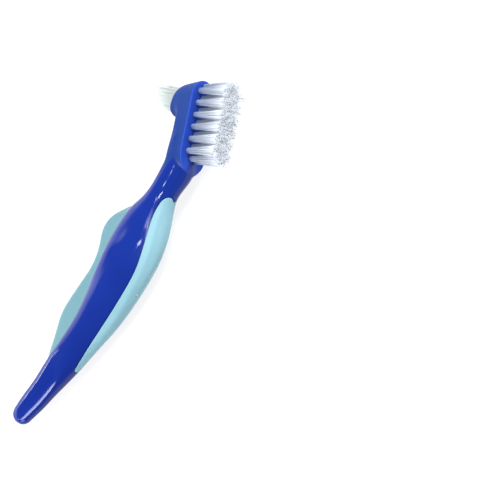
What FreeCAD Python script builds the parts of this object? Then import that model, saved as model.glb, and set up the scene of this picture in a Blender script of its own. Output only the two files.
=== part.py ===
import FreeCAD, Part
import math
import os
import Sketcher

# Denture brush with a two-sided head, lying on its side, in millimetres.
# +X runs along the handle from the tail to the head, -Y is the side of the
# main bristles, +Z is up, across the brush's thickness. The brush is the same
# on both sides of its mid-plane, which is horizontal here.
# Construction coordinates: x from the tail's end, depth = -y, mid-plane at 0.
# The whole is shifted by shift_x, shift_y and rest_z, so that the origin is
# the centre of the bounding box's bottom.

V = FreeCAD.Vector
doc = FreeCAD.newDocument("denture_brush")
sheet = doc.addObject("Spreadsheet::Sheet", "Sizes")

cells = [
    ("shift_x", -85.775, "x of the tail's end from the origin"),
    ("shift_y", -12.91, "y of the handle's axis from the origin"),
    ("rest_z", 8.5, "height of the mid-plane over the rest surface"),
    ("flat_half", 8.5, "from the mid-plane to the handle's slight side flats"),
    # head: a block with semicircular ends, turned from the handle's axis
    ("head_angle", 31.3, "degrees between the head and the handle"),
    ("face_x", 147.7, "centre of the bristle face, along the handle"),
    ("face_y", 7.85, "centre of the bristle face, across the handle"),
    ("head_long", 42.4, "length of the bristle face"),
    ("head_wide", 17.0, "width of the bristle face"),
    ("head_deep", 8.6, "depth of the head block"),
    ("head_draft", 7.5, "degrees that the head narrows to the rear"),
    ("back_round", 2.0, "rounding of the head's rear rim"),
    ("face_round", 0.5, "rounding of the bristle face's rim"),
    # rear boss
    ("boss_depth", 13.0, "face to the boss's end, on its axis"),
    ("boss_slant", 19.0, "degrees of slant of the boss's end"),
    ("boss_rim", 1.8, "rounding of the boss's rim"),
    ("flare_round", 3.8, "concave flare between the boss and the head"),
    # main tufts
    ("row_pitch", 5.54, "spacing of the tufts along a column"),
    ("outer_start", 15.5, "first tuft of an outer column from the centre"),
    ("column_outer", 4.15, "outer columns from the mid-plane"),
    ("column_inner", 1.45, "inner columns from the mid-plane"),
    ("tuft_root", 1.2, "radius of a tuft in its hole"),
    ("tuft_tip", 1.42, "radius of a tuft at its tip"),
    ("tuft_free", 16.0, "free length of a tuft"),
    ("tuft_lean", 3.5, "degrees that the main tufts lean to the tail"),
    ("hole_deep", 3.4, "depth of a tuft hole"),
    ("anchor_long", 1.9, "length of a flat tuft anchor"),
    ("anchor_tall", 1.5, "height of a flat tuft anchor"),
    ("anchor_thick", 0.3, "thickness of a flat tuft anchor"),
    # rear cluster
    ("rear_root", 5.5, "radius of the rear cluster in its hole"),
    ("rear_tip", 6.4, "radius of the rear cluster at its far end"),
    ("rear_hole", 5.0, "depth of the rear cluster's hole"),
    ("rear_lean", 10.0, "degrees that the rear cluster leans to the tip"),
    ("rear_free", 17.1, "free length of the longest rear filaments"),
    ("rear_cut", 30.0, "degrees of slant of the rear cluster's trim"),
    # thumb fin
    ("fin_thick", 3.4, "thickness of the thumb fin"),
    ("fin_round", 1.3, "rounding of the thumb fin's outer edge"),
]

# Stations of the handle: x, depth of the back, depth of the front, thickness.
stations = [
    (-0.48, 1.80, 4.00, 1.5),
    (-0.10, 0.48, 5.22, 2.6),
    (0.60, -0.84, 6.42, 3.5),
    (1.80, -2.00, 7.50, 3.9),
    (4.0, -2.66, 8.30, 4.0),
    (10.0, -2.62, 9.95, 4.4),
    (18.0, -1.90, 11.45, 5.3),
    (27.0, -1.75, 13.40, 7.0),
    (36.0, -1.40, 15.20, 9.4),
    (46.0, -1.50, 16.70, 12.0),
    (56.0, -2.73, 18.25, 14.6),
    (66.0, -5.60, 18.85, 16.5),
    (76.0, -8.70, 18.80, 17.0),
    (86.0, -11.10, 18.10, 17.0),
    (95.0, -12.20, 16.40, 16.0),
    (103.0, -12.20, 13.10, 14.4),
    (110.0, -10.00, 8.80, 12.7),
    (117.0, -9.30, 4.90, 11.8),
    (124.0, -9.90, 4.70, 12.8),
    (130.0, -10.60, 3.60, 14.2),
    (136.0, -11.70, -1.40, 15.4),
    (141.0, -12.95, -5.00, 16.0),
]
for i, (sx, sb, sf, sw) in enumerate(stations):
    tag = "station%02d" % (i + 1)
    cells.append((tag + "_x", sx, "place along the handle"))
    cells.append((tag + "_back", sb, "depth of the back"))
    cells.append((tag + "_front", sf, "depth of the front"))
    cells.append((tag + "_thick", sw, "thickness"))

for row, (alias, value, note) in enumerate(cells, start=1):
    sheet.set("A%d" % row, alias)
    sheet.set("B%d" % row, repr(value))
    sheet.set("C%d" % row, note)
    sheet.setAlias("B%d" % row, alias)
doc.recompute()


def size(name):
    return float(getattr(sheet, name))


AT = (size("shift_x"), size("shift_y"), size("rest_z"))
TURN = FreeCAD.Rotation(size("head_angle"), 0, 0)


def place_head(obj, lx, ly, z, rotation=None, lift=(0, 0, 0)):
    """Put an object at lx along the head, ly behind the face, z off the
    mid-plane, with its place bound to the sheet. lift is a corner offset."""
    turn = "Sizes.head_angle * 1 deg"
    obj.Placement = FreeCAD.Placement(V(0, 0, 0), rotation or TURN)
    obj.setExpression(
        "Placement.Base.x",
        "Sizes.shift_x + Sizes.face_x + (%s) * cos(%s) - (%s) * sin(%s) + (%r)" % (lx, turn, ly, turn, float(lift[0])))
    obj.setExpression(
        "Placement.Base.y",
        "Sizes.shift_y + Sizes.face_y + (%s) * sin(%s) + (%s) * cos(%s) + (%r)" % (lx, turn, ly, turn, float(lift[1])))
    obj.setExpression("Placement.Base.z", "Sizes.rest_z + (%s) + (%r)" % (z, float(lift[2])))


def place_handle(obj):
    obj.setExpression("Placement.Base.x", "Sizes.shift_x")
    obj.setExpression("Placement.Base.y", "Sizes.shift_y")
    obj.setExpression("Placement.Base.z", "Sizes.rest_z")


def add(kind, name, **props):
    obj = doc.addObject(kind, name)
    for key, value in props.items():
        if isinstance(value, str):
            obj.setExpression(key, value)
        else:
            setattr(obj, key, value)
    return obj


def origin_plane(body, role):
    for feature in body.Origin.OriginFeatures:
        if feature.Role == role:
            return feature
    raise RuntimeError("no plane " + role)


# --- the handle's outer form -------------------------------------------------
# Each section is a closed smooth curve, the same on both sides, fullest behind
# its middle and narrower at the front. Its points run round from the back.
LONG = [0.0, 0.05, 0.18, 0.36, 0.55, 0.76, 0.93, 1.0]
HALF = [0.0, 0.24, 0.43, 0.5, 0.495, 0.39, 0.205, 0.0]


def section_points(x, back, front, thick):
    pts = []
    for u, w in zip(LONG, HALF):
        pts.append(V(x, -(back + u * (front - back)), -w * thick))
    for u, w in list(zip(LONG, HALF))[-2:0:-1]:
        pts.append(V(x, -(back + u * (front - back)), w * thick))
    return pts


reference = section_points(0.0, 0.0, 24.0, 15.0)
params = [0.0]
for a, b in zip(reference, reference[1:] + reference[:1]):
    params.append(params[-1] + math.sqrt((b - a).Length))
params = [p / params[-1] for p in params]

wires = []
for i in range(len(stations)):
    tag = "station%02d" % (i + 1)
    curve = Part.BSplineCurve()
    curve.interpolate(
        Points=section_points(size(tag + "_x"), size(tag + "_back"),
                              size(tag + "_front"), size(tag + "_thick")),
        Parameters=params, PeriodicFlag=True)
    wires.append(Part.Wire([curve.toShape()]))
loft = doc.addObject("Part::Feature", "HandleLoft")
loft.Shape = Part.makeLoft(wires, True, False)
place_handle(loft)
# the fullest part has a slight flat on each side, level with the head's sides
slab = add("Part::Box", "SideFlats", Length=190.0, Width=80.0, Height="2 * Sizes.flat_half")
slab.setExpression("Placement.Base.x", "Sizes.shift_x - 10")
slab.setExpression("Placement.Base.y", "Sizes.shift_y - 40")
slab.setExpression("Placement.Base.z", "Sizes.rest_z - Sizes.flat_half")
form = add("Part::Common", "HandleForm")
form.Base, form.Tool = loft, slab

# --- the line where the soft front grip meets the rigid body -----------------
# depth of the joint line along the handle, on both sides of the mid-plane
grip_line = [(32.0, 14.05), (35.0, 14.35), (40.0, 14.95), (48.0, 15.4), (57.1, 15.75),
             (67.2, 15.75), (77.2, 14.8), (87.1, 13.0), (96.0, 9.85),
             (103.9, 6.0), (107.6, 4.6), (111.0, 3.6), (113.6, 3.15),
             (115.7, 3.35), (116.8, 4.2), (117.0, 5.6)]
cutter = doc.addObject("PartDesign::Body", "GripRegion")
grip_sketch = cutter.newObject("Sketcher::SketchObject", "GripOutline")
grip_sketch.AttachmentSupport = [(origin_plane(cutter, "XY_Plane"), "")]
grip_sketch.MapMode = "FlatFace"
line = Part.BSplineCurve()
line.interpolate([V(x, -d, 0) for x, d in grip_line])
first, last = V(grip_line[0][0], -grip_line[0][1], 0), V(grip_line[-1][0], -grip_line[-1][1], 0)
corner_a, corner_b = V(first.x, -32, 0), V(last.x, -32, 0)
grip_sketch.addGeometry(line, False)
grip_sketch.addGeometry(Part.LineSegment(last, corner_b), False)
grip_sketch.addGeometry(Part.LineSegment(corner_b, corner_a), False)
grip_sketch.addGeometry(Part.LineSegment(corner_a, first), False)
grip_pad = cutter.newObject("PartDesign::Pad", "GripPrism")
grip_pad.Profile = grip_sketch
grip_pad.Midplane = True
grip_pad.Length = 40.0
cutter.Tip = grip_pad
place_handle(cutter)

core = add("Part::Cut", "Core")
core.Base, core.Tool = form, cutter
front_grip = add("Part::Common", "FrontGrip")
front_grip.Base, front_grip.Tool = form, cutter
front_grip.Label = "front_grip"

# --- the thumb fin: a flat plate on the back, with two bulges ----------------
fin_line = [(106.6, -8.6), (105.0, -12.2), (103.1, -14.5), (101.2, -16.0),
            (98.4, -18.1), (95.0, -20.0), (91.2, -20.7), (87.2, -19.9),
            (82.2, -17.0), (76.8, -14.4), (70.7, -13.0), (64.3, -12.9),
            (59.8, -12.85), (54.1, -12.7), (48.5, -11.9), (43.4, -9.9),
            (37.5, -7.1), (31.9, -4.7), (27.6, -2.6), (24.0, -0.6)]
fin_body = doc.addObject("PartDesign::Body", "FinPlate")
fin_sketch = fin_body.newObject("Sketcher::SketchObject", "FinOutline")
fin_sketch.AttachmentSupport = [(origin_plane(fin_body, "XY_Plane"), "")]
fin_sketch.MapMode = "FlatFace"
edge = Part.BSplineCurve()
edge.interpolate([V(x, -d, 0) for x, d in fin_line])
inner = [V(fin_line[-1][0], -fin_line[-1][1], 0), V(30, -5, 0), V(60, -5, 0), V(80, 0, 0),
         V(fin_line[0][0], -fin_line[0][1], 0)]
fin_sketch.addGeometry(edge, False)
for a, b in zip(inner, inner[1:]):
    fin_sketch.addGeometry(Part.LineSegment(a, b), False)
fin_pad = fin_body.newObject("PartDesign::Pad", "FinPad")
fin_pad.Profile = fin_sketch
fin_pad.Midplane = True
fin_pad.setExpression("Length", "Sizes.fin_thick")
doc.recompute()
names = []
for i, e in enumerate(fin_pad.Shape.Edges, start=1):
    flat = abs(e.BoundBox.ZMax - e.BoundBox.ZMin) < 1e-6
    if flat and isinstance(e.Curve, Part.BSplineCurve):
        names.append("Edge%d" % i)
fin_fillet = fin_body.newObject("PartDesign::Fillet", "FinEdge")
fin_fillet.Base = (fin_pad, names)
fin_fillet.setExpression("Radius", "Sizes.fin_round")
fin_body.Tip = fin_fillet
place_handle(fin_body)
thumb_fin = add("Part::Cut", "ThumbFin")
thumb_fin.Base, thumb_fin.Tool = fin_body, form
thumb_fin.Label = "thumb_fin"

# --- the head block ----------------------------------------------------------
head = doc.addObject("PartDesign::Body", "HeadBlock")
plan = head.newObject("Sketcher::SketchObject", "FaceOutline")
plan.AttachmentSupport = [(origin_plane(head, "XZ_Plane"), "")]
plan.MapMode = "FlatFace"
half = (size("head_long") - size("head_wide")) / 2
rad = size("head_wide") / 2
plan.addGeometry(Part.LineSegment(V(-half, -rad, 0), V(half, -rad, 0)), False)
plan.addGeometry(Part.ArcOfCircle(Part.Circle(V(half, 0, 0), V(0, 0, 1), rad), -math.pi / 2, math.pi / 2), False)
plan.addGeometry(Part.LineSegment(V(half, rad, 0), V(-half, rad, 0)), False)
plan.addGeometry(Part.ArcOfCircle(Part.Circle(V(-half, 0, 0), V(0, 0, 1), rad), math.pi / 2, 3 * math.pi / 2), False)
plan.addConstraint(Sketcher.Constraint("Tangent", 0, 2, 1, 1))
plan.addConstraint(Sketcher.Constraint("Tangent", 1, 2, 2, 1))
plan.addConstraint(Sketcher.Constraint("Tangent", 2, 2, 3, 1))
plan.addConstraint(Sketcher.Constraint("Tangent", 3, 2, 0, 1))
plan.addConstraint(Sketcher.Constraint("Horizontal", 0))
plan.addConstraint(Sketcher.Constraint("Symmetric", 1, 3, 3, 3, -1, 1))
n = plan.addConstraint(Sketcher.Constraint("Radius", 1, rad))
plan.setExpression("Constraints[%d]" % n, "Sizes.head_wide / 2")
n = plan.addConstraint(Sketcher.Constraint("DistanceX", 3, 3, 1, 3, 2 * half))
plan.setExpression("Constraints[%d]" % n, "Sizes.head_long - Sizes.head_wide")
head_pad = head.newObject("PartDesign::Pad", "HeadPad")
head_pad.Profile = plan
head_pad.Reversed = True
head_pad.setExpression("Length", "Sizes.head_deep")
head_pad.setExpression("TaperAngle", "-Sizes.head_draft")
doc.recompute()
rear, front = [], []
for i, e in enumerate(head_pad.Shape.Edges, start=1):
    box = e.BoundBox
    if box.YMax - box.YMin < 1e-6:
        (rear if box.YMax > 1 else front).append("Edge%d" % i)
head_rear = head.newObject("PartDesign::Fillet", "RearRim")
head_rear.Base = (head_pad, rear)
head_rear.setExpression("Radius", "Sizes.back_round")
doc.recompute()
front = []
for i, e in enumerate(head_rear.Shape.Edges, start=1):
    box = e.BoundBox
    if box.YMax - box.YMin < 1e-6 and abs(box.YMax) < 1e-6:
        front.append("Edge%d" % i)
head_front = head.newObject("PartDesign::Fillet", "FaceRim")
head_front.Base = (head_rear, front)
head_front.setExpression("Radius", "Sizes.face_round")
head.Tip = head_front
place_head(head, "0", "0", "0")

# --- the rear boss: round, its end slanted towards the tip -------------------
BOSS = "(Sizes.head_long - Sizes.head_wide) / 2"
to_rear = FreeCAD.Rotation(size("head_angle"), 0, -90)
boss_bar = add("Part::Cone", "BossBar", Radius1="Sizes.head_wide / 2 - 0.02",
               Radius2="Sizes.head_wide / 2 - 0.02 - (Sizes.boss_depth + 5) * tan(Sizes.head_draft * 1 deg)",
               Height="Sizes.boss_depth + 5")
place_head(boss_bar, BOSS, "0", "0", to_rear)
boss_trim = add("Part::Box", "BossTrim", Length=40.0, Width=40.0, Height=20.0)
slant = size("boss_slant")
# the trim's lower face passes through the boss's axis at its end
trim_turn = TURN.multiply(FreeCAD.Rotation(V(0, 0, 1), -slant)).multiply(FreeCAD.Rotation(V(1, 0, 0), -90))
lift = trim_turn.multVec(V(-20, -20, 0))
place_head(boss_trim, BOSS, "Sizes.boss_depth", "0", trim_turn, lift)
boss_cut = add("Part::Cut", "BossCut")
boss_cut.Base, boss_cut.Tool = boss_bar, boss_trim
doc.recompute()
face_point = V(AT[0] + size("face_x"), AT[1] + size("face_y"), AT[2])
rim = []
for i, e in enumerate(boss_cut.Shape.Edges, start=1):
    local = TURN.inverted().multVec(e.CenterOfMass - face_point)
    if local.y > size("boss_depth") - 4 and e.Length > 20:
        rim.append((i, size("boss_rim"), size("boss_rim")))
boss = doc.addObject("Part::Fillet", "Boss")
boss.Base = boss_cut
boss.Edges = rim

# the concave flare round the boss's foot, kept within the head's outline
flare_tool = doc.addObject("PartDesign::Body", "FlareRing")
ring = flare_tool.newObject("Sketcher::SketchObject", "FlareOutline")
ring.AttachmentSupport = [(origin_plane(flare_tool, "XZ_Plane"), "")]
ring.MapMode = "FlatFace"
fr, bd = size("flare_round"), size("head_deep")
rad_b = rad - (bd + fr) * math.tan(math.radians(size("head_draft")))
p0, p1 = V(3.0, bd - 3.2, 0), V(rad_b + fr, bd - 3.2, 0)
p2, p4 = V(rad_b + fr, bd, 0), V(3.0, bd + fr, 0)
ring.addGeometry(Part.LineSegment(p0, p1), False)
ring.addGeometry(Part.LineSegment(p1, p2), False)
arc_centre = V(rad_b + fr, bd + fr, 0)
mid = arc_centre + V(-math.cos(math.pi / 4), -math.sin(math.pi / 4), 0) * fr
p3 = V(rad_b, bd + fr, 0)
ring.addGeometry(Part.Arc(p2, mid, p3), False)
ring.addGeometry(Part.LineSegment(p3, p4), False)
ring.addGeometry(Part.LineSegment(p4, p0), False)
ring_turn = flare_tool.newObject("PartDesign::Revolution", "FlareTurn")
ring_turn.Profile = ring
ring_turn.ReferenceAxis = (ring, ["V_Axis"])
ring_turn.Angle = 360.0
flare_tool.Tip = ring_turn
# the sketch's upright axis is the boss's axis
place_head(flare_tool, BOSS, "0", "0", FreeCAD.Rotation(size("head_angle"), 0, -90))
outline = add("Part::Extrusion", "HeadOutline")
outline_sketch = doc.addObject("Sketcher::SketchObject", "HeadOutlineSketch")
for g in plan.Geometry:
    outline_sketch.addGeometry(g, False)
outline_sketch.Placement = FreeCAD.Placement(face_point, FreeCAD.Rotation(size("head_angle"), 0, 90))
outline.Base = outline_sketch
outline.DirMode = "Normal"
outline.LengthFwd = 0.0
outline.LengthRev = 20.0
outline.Solid = True
outline.setExpression("TaperAngleRev", "-Sizes.head_draft")
flare = add("Part::Common", "Flare")
flare.Base, flare.Tool = flare_tool, outline

# --- tufts, their holes and anchors -----------------------------------------
columns = [
    ("a", "Sizes.column_outer", 6, 0.0),
    ("b", "Sizes.column_inner", 7, 0.5),
    ("c", "-Sizes.column_inner", 7, 0.5),
    ("d", "-Sizes.column_outer", 6, 0.0),
]
tilt = FreeCAD.Rotation(V(0, 0, 1), -size("tuft_lean"))
along = TURN.multiply(tilt)
to_bristles = along.multiply(FreeCAD.Rotation(V(1, 0, 0), 90))
LEAN = "Sizes.tuft_lean * 1 deg"
holes, anchors, tufts = [], [], []


def on_axis(lx, depth):
    """Place on a tuft's axis, at a depth below the bristle face."""
    return "%s + (%s) * sin(%s)" % (lx, depth, LEAN), "(%s) * cos(%s)" % (depth, LEAN)


for name, off, count, phase in columns:
    for i in range(count):
        tag = "%s%d" % (name.upper(), i + 1)
        lx = "Sizes.outer_start + (%r) * Sizes.row_pitch" % (phase - i)
        bottom = on_axis(lx, "Sizes.hole_deep")
        hole = add("Part::Cylinder", "Hole" + tag, Radius="Sizes.tuft_root", Height="Sizes.hole_deep + 1")
        place_head(hole, bottom[0], bottom[1], off, to_bristles)
        holes.append(hole)
        root = add("Part::Cylinder", "Root" + tag, Radius="Sizes.tuft_root", Height="Sizes.hole_deep + 0.2")
        place_head(root, bottom[0], bottom[1], off, to_bristles)
        free = add("Part::Cone", "Free" + tag, Radius1="Sizes.tuft_root", Radius2="Sizes.tuft_tip",
                   Height="Sizes.tuft_free - 0.2")
        start = on_axis(lx, "-0.2")
        place_head(free, start[0], start[1], off, to_bristles)
        # a flat anchor across the bottom of the hole, over the filaments' fold
        flat = add("Part::Box", "Flat" + tag, Length="Sizes.anchor_long", Width="Sizes.anchor_tall",
                   Height="Sizes.anchor_thick")
        deep_end = on_axis(lx, "Sizes.hole_deep - Sizes.anchor_tall - 0.4")
        corner = along.multVec(V(-size("anchor_long") / 2, 0, -size("anchor_thick") / 2))
        place_head(flat, deep_end[0], deep_end[1], off, along, corner)
        anchors.append(flat)
        whole = add("Part::Fuse", "Whole" + tag)
        whole.Base, whole.Tool = root, free
        tuft = add("Part::Cut", "Tuft" + tag)
        tuft.Base, tuft.Tool = whole, flat
        tuft.Label = "main_tuft_%s%d" % (name, i + 1)
        tufts.append(tuft)
anchor_set = doc.addObject("Part::Compound", "TuftAnchors")
anchor_set.Links = anchors
anchor_set.Label = "tuft_anchors"

# the rear cluster: one wide bundle, leaning to the tip and trimmed aslant
lean = size("rear_lean")
rear_turn = TURN.multiply(FreeCAD.Rotation(V(0, 0, 1), -lean)).multiply(FreeCAD.Rotation(V(1, 0, 0), -90))
deep = "Sizes.boss_depth - Sizes.rear_hole"
rear_hole = add("Part::Cylinder", "RearHole", Radius="Sizes.rear_root", Height="Sizes.rear_hole + 8")
place_head(rear_hole, BOSS, deep, "0", rear_turn)
rear_base = add("Part::Cylinder", "RearRoot", Radius="Sizes.rear_root", Height="Sizes.rear_hole + 2.2")
place_head(rear_base, BOSS, deep, "0", rear_turn)
rear_free = add("Part::Cone", "RearFree", Radius1="Sizes.rear_root", Radius2="Sizes.rear_tip",
                Height="Sizes.rear_free + 6")
rear_top = "Sizes.rear_hole + 2.2"
place_head(rear_free, "%s + (%s) * sin(Sizes.rear_lean * 1 deg)" % (BOSS, rear_top),
           "%s + (%s) * cos(Sizes.rear_lean * 1 deg)" % (deep, rear_top), "0", rear_turn)
rear_whole = add("Part::Fuse", "RearWhole")
rear_whole.Base, rear_whole.Tool = rear_base, rear_free
rear_trim = add("Part::Box", "RearTrim", Length=60.0, Width=60.0, Height=40.0)
trim2 = TURN.multiply(FreeCAD.Rotation(V(0, 0, 1), size("rear_cut"))).multiply(FreeCAD.Rotation(V(1, 0, 0), -90))
lift2 = trim2.multVec(V(-30, -30, 0))
place_head(rear_trim, BOSS, "Sizes.boss_depth + Sizes.rear_free * 0.62", "0", trim2, lift2)
rear_cut = add("Part::Cut", "RearCut")
rear_cut.Base, rear_cut.Tool = rear_whole, rear_trim
rear_flat = add("Part::Box", "RearAnchor", Length=8.6, Width=0.5, Height=2.4)
rear_flat.Label = "rear_anchor"
flat_turn = rear_turn
flat_lift = flat_turn.multVec(V(-4.3, -0.25, 0.9))
place_head(rear_flat, BOSS, deep, "0", flat_turn, flat_lift)
rear_tuft = add("Part::Cut", "RearTuft")
rear_tuft.Base, rear_tuft.Tool = rear_cut, rear_flat
rear_tuft.Label = "rear_tuft"

# --- the rigid body: one moulding, with the holes cut into it ----------------
body_fuse = doc.addObject("Part::MultiFuse", "BodyFuse")
body_fuse.Shapes = [core, head, boss, flare]
hole_set = doc.addObject("Part::Compound", "HoleSet")
hole_set.Links = holes + [rear_hole]
handle_body = add("Part::Cut", "HandleBody")
handle_body.Base, handle_body.Tool = body_fuse, hole_set
handle_body.Label = "handle_body"

doc.recompute()

# --- checks and output -------------------------------------------------------
pieces = [handle_body, front_grip, thumb_fin] + tufts + [anchor_set, rear_tuft, rear_flat]
for obj in doc.Objects:
    if "Invalid" in obj.State or "Error" in obj.State:
        raise RuntimeError("failed: %s %s" % (obj.Name, obj.State))
for obj in pieces:
    shape = obj.Shape
    if shape.isNull() or not shape.isValid() or not shape.Solids:
        raise RuntimeError("bad shape: " + obj.Label)
os.makedirs("parts", exist_ok=True)
for obj in pieces:
    obj.Shape.exportStep(os.path.join("parts", obj.Label + ".step"))
    if obj in (handle_body, front_grip, thumb_fin, rear_tuft):
        print(obj.Label, len(obj.Shape.Solids), "solids, volume %.1f" % obj.Shape.Volume, obj.Shape.BoundBox)
print(len(pieces), "nodes")
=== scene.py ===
import bmesh
import bpy
import math
import numpy as np
from mathutils import Matrix, Vector


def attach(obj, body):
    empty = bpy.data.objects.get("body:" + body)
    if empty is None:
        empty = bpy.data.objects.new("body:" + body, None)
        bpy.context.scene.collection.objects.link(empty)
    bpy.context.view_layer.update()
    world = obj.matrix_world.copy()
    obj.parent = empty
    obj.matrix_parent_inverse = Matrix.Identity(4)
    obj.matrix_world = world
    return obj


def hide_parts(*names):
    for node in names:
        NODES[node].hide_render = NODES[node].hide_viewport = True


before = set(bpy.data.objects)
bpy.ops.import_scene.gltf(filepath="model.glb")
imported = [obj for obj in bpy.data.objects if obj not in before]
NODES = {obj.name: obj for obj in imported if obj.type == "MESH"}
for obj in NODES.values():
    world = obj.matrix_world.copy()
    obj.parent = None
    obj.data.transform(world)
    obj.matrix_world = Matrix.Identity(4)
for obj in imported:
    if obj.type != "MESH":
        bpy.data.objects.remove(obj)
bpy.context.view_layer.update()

# ---------------------------------------------------------------------------
# Measures, in millimetres. q runs along the handle from the tail's end, t is
# the depth towards the main bristles (world -Y) and z is the height over the
# mid-plane of the brush (world +Z).
# ---------------------------------------------------------------------------
SX, SY, RZ = -85.775, -12.91, 8.5
FACE_Q, FACE_T = 147.7, -7.85
HEAD = math.radians(31.3)
CH, SH = math.cos(HEAD), math.sin(HEAD)
DRAFT = math.tan(math.radians(7.5))
HEAD_R, HEAD_HALF, HEAD_DEEP = 8.5, 12.7, 8.6
BOSS_END, BOSS_SLANT = 13.0, math.radians(19.0)

stations = np.array([
    (4.0, -2.66, 8.30, 4.0), (10.0, -2.62, 9.95, 4.4), (18.0, -1.90, 11.45, 5.3),
    (27.0, -1.75, 13.40, 7.0), (36.0, -1.40, 15.20, 9.4), (46.0, -1.50, 16.70, 12.0),
    (56.0, -2.73, 18.25, 14.6), (66.0, -5.60, 18.85, 16.5), (76.0, -8.70, 18.80, 17.0),
    (86.0, -11.10, 18.10, 17.0), (95.0, -12.20, 16.40, 16.0), (103.0, -12.20, 13.10, 14.4),
    (110.0, -10.00, 8.80, 12.7), (117.0, -9.30, 4.90, 11.8), (124.0, -9.90, 4.70, 12.8),
    (130.0, -10.60, 3.60, 14.2), (136.0, -11.70, -1.40, 15.0), (141.0, -12.95, -5.00, 14.8)])
grip_line = [(32.3, 14.5), (33.6, 14.62), (37.0, 15.0), (40.9, 15.32), (48.2, 15.57), (57.1, 15.84),
             (66.0, 15.75), (72.7, 15.45), (77.8, 14.9), (84.9, 13.75), (91.4, 11.7), (96.65, 9.5), (100.3, 7.75),
             (104.5, 5.76), (109.0, 4.12), (112.9, 3.2), (115.3, 3.3), (116.6, 3.95), (116.5, 4.8),
             (115.2, 5.6), (113.5, 6.3), (112.5, 7.2), (112.2, 8.6)]
fin_line = [(106.6, -8.6), (105.0, -12.2), (103.1, -14.5), (101.2, -16.0), (98.4, -18.1), (95.0, -20.0),
            (91.2, -20.7), (87.2, -19.9), (82.2, -17.0), (76.8, -14.4), (70.7, -13.0), (64.3, -12.9),
            (59.8, -12.85), (54.1, -12.7), (48.5, -11.9), (43.4, -9.9), (37.5, -7.1), (31.9, -4.7),
            (27.6, -2.6), (24.0, -0.6)]


def spline(xs, ys):
    """Natural cubic spline, as a function that goes on straight past its ends."""
    xs, ys = np.asarray(xs, float), np.asarray(ys, float)
    n = len(xs)
    h = np.diff(xs)
    a = np.zeros((n, n))
    r = np.zeros(n)
    a[0, 0] = a[-1, -1] = 1.0
    for i in range(1, n - 1):
        a[i, i - 1], a[i, i], a[i, i + 1] = h[i - 1], 2 * (h[i - 1] + h[i]), h[i]
        r[i] = 6 * ((ys[i + 1] - ys[i]) / h[i] - (ys[i] - ys[i - 1]) / h[i - 1])
    m = np.linalg.solve(a, r)

    def f(x):
        x = np.asarray(x, float)
        xc = np.clip(x, xs[0], xs[-1])
        i = np.clip(np.searchsorted(xs, xc) - 1, 0, n - 2)
        d0, d1 = xs[i + 1] - xc, xc - xs[i]
        val = (m[i] * d0 ** 3 + m[i + 1] * d1 ** 3) / (6 * h[i]) \
            + (ys[i] / h[i] - m[i] * h[i] / 6) * d0 + (ys[i + 1] / h[i] - m[i + 1] * h[i] / 6) * d1
        s0 = (ys[1] - ys[0]) / h[0] - m[1] * h[0] / 6
        s1 = (ys[-1] - ys[-2]) / h[-1] + m[-2] * h[-1] / 6
        return val + np.where(x < xs[0], (x - xs[0]) * s0, 0) + np.where(x > xs[-1], (x - xs[-1]) * s1, 0)
    return f


back_of = spline(stations[:, 0], stations[:, 1])
front_of = spline(stations[:, 0], stations[:, 2])
thick_of = spline(stations[:, 0], stations[:, 3])

# the section's outline as a radius round its centre, in units of half sizes
LONG = np.array([0.0, 0.05, 0.18, 0.36, 0.55, 0.76, 0.93, 1.0]) * 2 - 1
HALF = np.array([0.0, 0.24, 0.43, 0.5, 0.495, 0.39, 0.205, 0.0]) * 2
ang = np.arctan2(HALF, LONG)
rad = np.hypot(HALF, LONG)
order = np.argsort(ang)
ang, rad = ang[order], rad[order]
full_a = np.concatenate([-ang[::-1][:-1], ang])
full_r = np.concatenate([rad[::-1][:-1], rad])
full_a, keep = np.unique(np.round(full_a, 6), return_index=True)
full_r = full_r[keep]
wide_a = np.concatenate([full_a[:-1] - 2 * math.pi, full_a, full_a[1:] + 2 * math.pi])
wide_r = np.concatenate([full_r[:-1], full_r, full_r[1:]])
TH = np.linspace(0, math.pi, 721)
EGG = spline(wide_a, wide_r)(TH)


def smin(a, b, k):
    h = np.maximum(k - np.abs(a - b), 0.0) / k
    return np.minimum(a, b) - h * h * k * 0.25


def smax(a, b, k):
    return -smin(-a, -b, k)


def step(x, a, b):
    x = np.clip((x - a) / (b - a), 0, 1)
    return x * x * (3 - 2 * x)


def tail_field(q, t, z, b, f, w):
    """The tail's bar: a side panel with a bevel along its back, a crisp edge
    along its front and a rounded end."""
    edge = np.minimum(f - t, t - b)
    near = q < 9.0
    if near.any():
        edge = edge.copy()
        edge[near] = -poly_distance(q[near], t[near], TAIL)
    u = (t - (b + f) / 2) / ((f - b) / 2)
    k = step(u, -0.25, 0.45)
    rf = w * 0.96
    # rounded bar: full at the front, tighter at the back
    rr = 0.9 + (rf - 0.9) * step(u, -0.1, 0.1)
    bar = np.hypot(np.maximum(np.abs(z) - (w - rr), 0), np.maximum(rr - edge, 0)) - rr
    bar = np.maximum(bar, np.where(edge > rr, np.abs(z) - w, -9.0))
    fade = 1 - step(q, 17, 36)
    rim = w - rf + np.sqrt(np.maximum(rf ** 2 - (rf - 1.0) ** 2, 0.01))
    fore = rim - 0.50 * (1 - np.exp(-np.clip(edge - 1.0, -1.2, 9) / 1.5))
    fore = fore * fade + (w + 0.8) * (1 - fade)
    aft = np.where(edge < 3.1, w - 1.13 * (1 - edge / 3.1), w - 0.35 * fade * (1 - np.exp(-np.maximum(edge - 3.1, 0) / 1.2)))
    top = fore * k + aft * (1 - k)
    return smax(bar, (np.abs(z) - top) * 0.94, 0.35)


def polygon(points):
    pts = np.asarray(points, float)
    return pts, np.roll(pts, -1, axis=0)


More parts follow.
